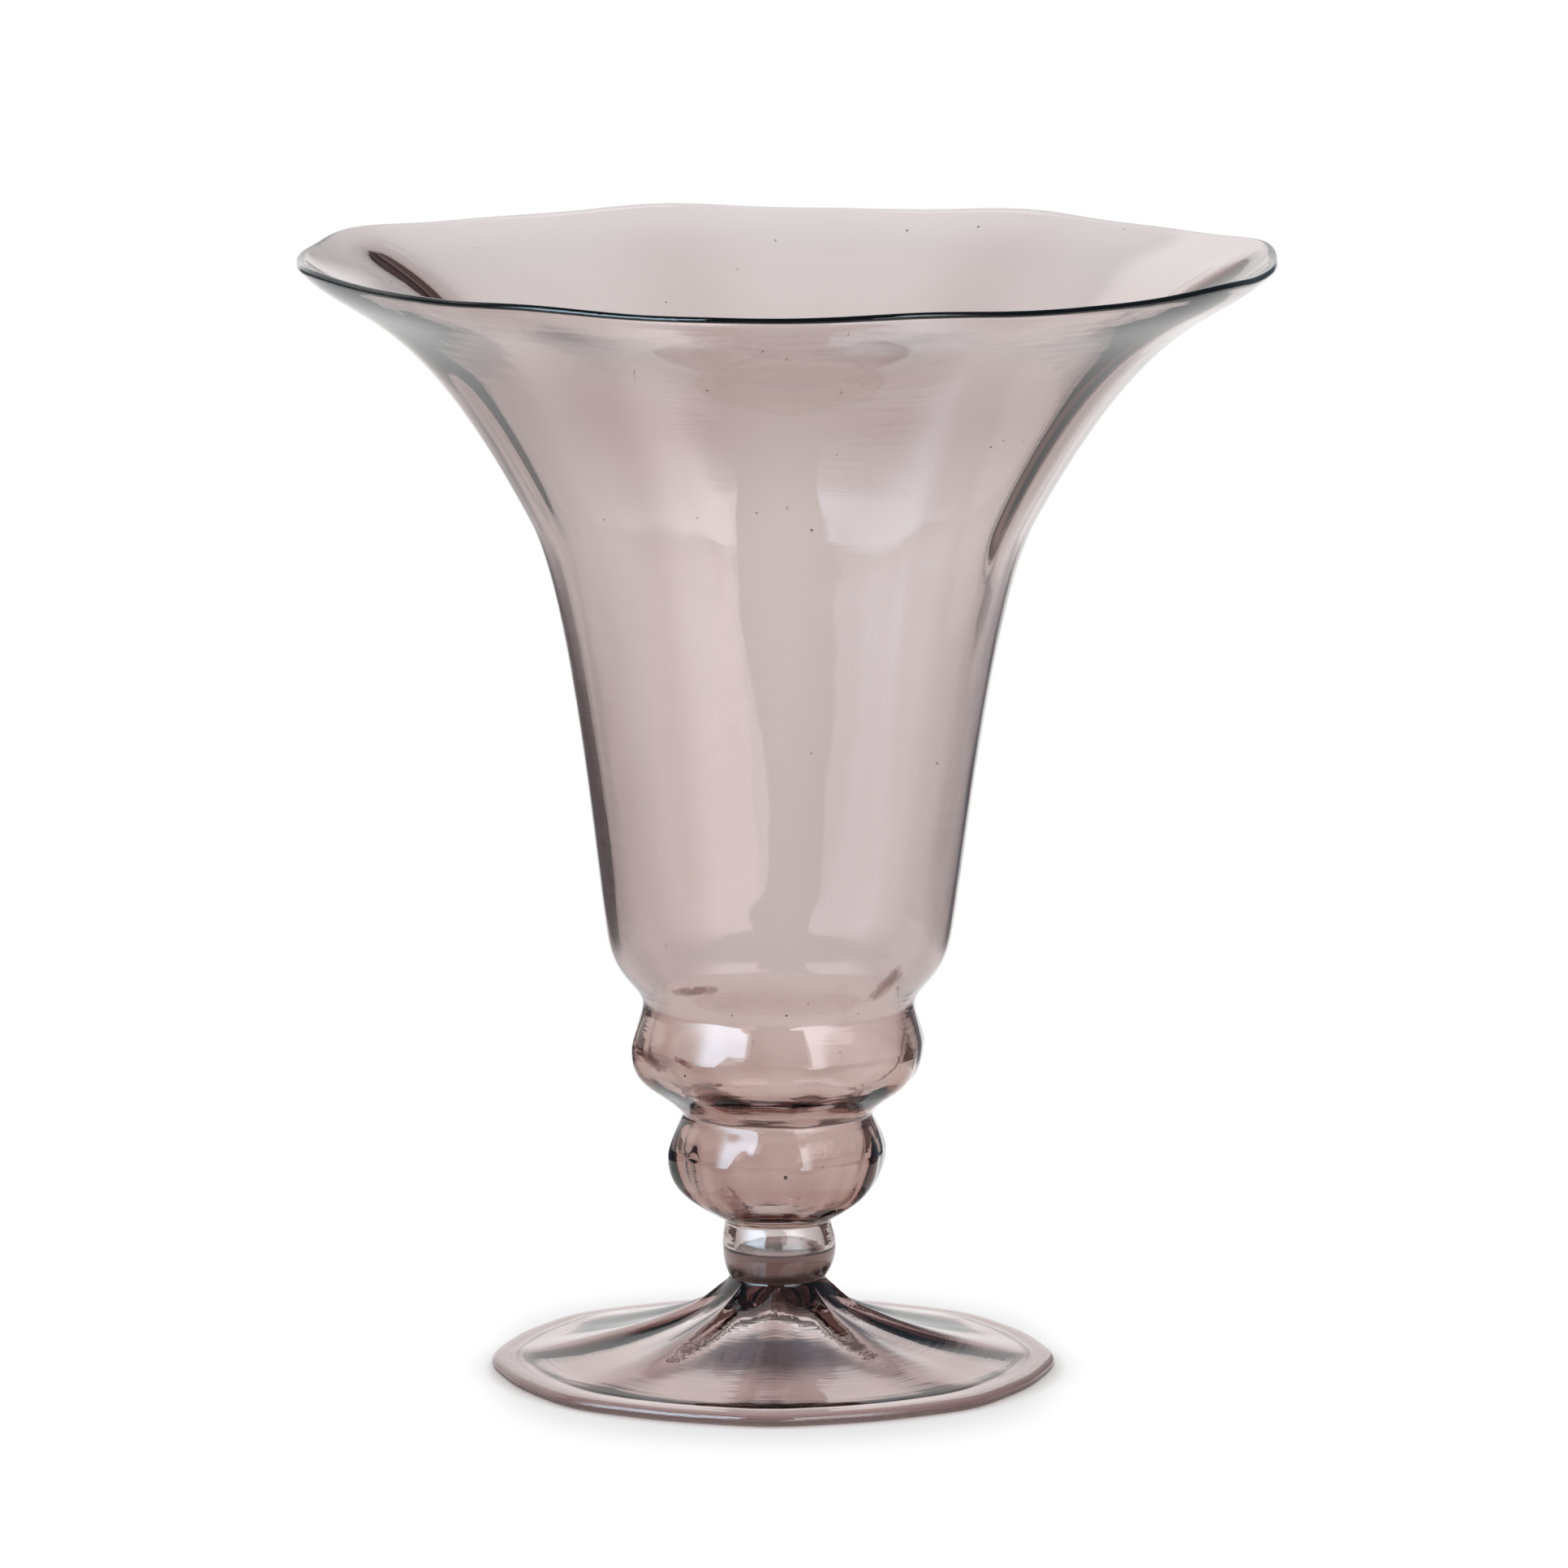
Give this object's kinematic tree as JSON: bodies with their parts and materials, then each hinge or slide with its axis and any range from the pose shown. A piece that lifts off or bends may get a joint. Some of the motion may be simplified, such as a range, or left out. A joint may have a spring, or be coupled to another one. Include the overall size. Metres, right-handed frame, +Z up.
{
  "type": "bell-shaped vase",
  "caption": "Footed vase in thin smoky rose glass: a flared bell bowl with soft mould ribs, on hollow ribbed knops, a small neck bead and a wide shallow foot.",
  "frame": {"origin": "middle of the overall box, on the plane that the foot rests on", "axes": "+Z up along the vase, -Y towards the viewer, +X to the viewer's right"},
  "size_m": [0.261, 0.2647, 0.3006],
  "materials": {
    "bell_glass": "fire-polished, pale smoky rose, thin wall with soft upright ribs",
    "knop_glass": "fire-polished, smoky rose that deepens to red brown where the wall turns under",
    "bead_glass": "fire-polished, thick at its bottom, with seed bubbles and fine cords",
    "foot_glass": "fire-polished, smoky brown, with soft radiating ribs and a rounded thick edge"
  },
  "bodies": {
    "root": {"bell_bowl": "bell_glass", "upper_knop": "knop_glass", "lower_knop": "knop_glass", "neck_bead": "bead_glass", "foot": "foot_glass"}
  },
  "joints": []
}
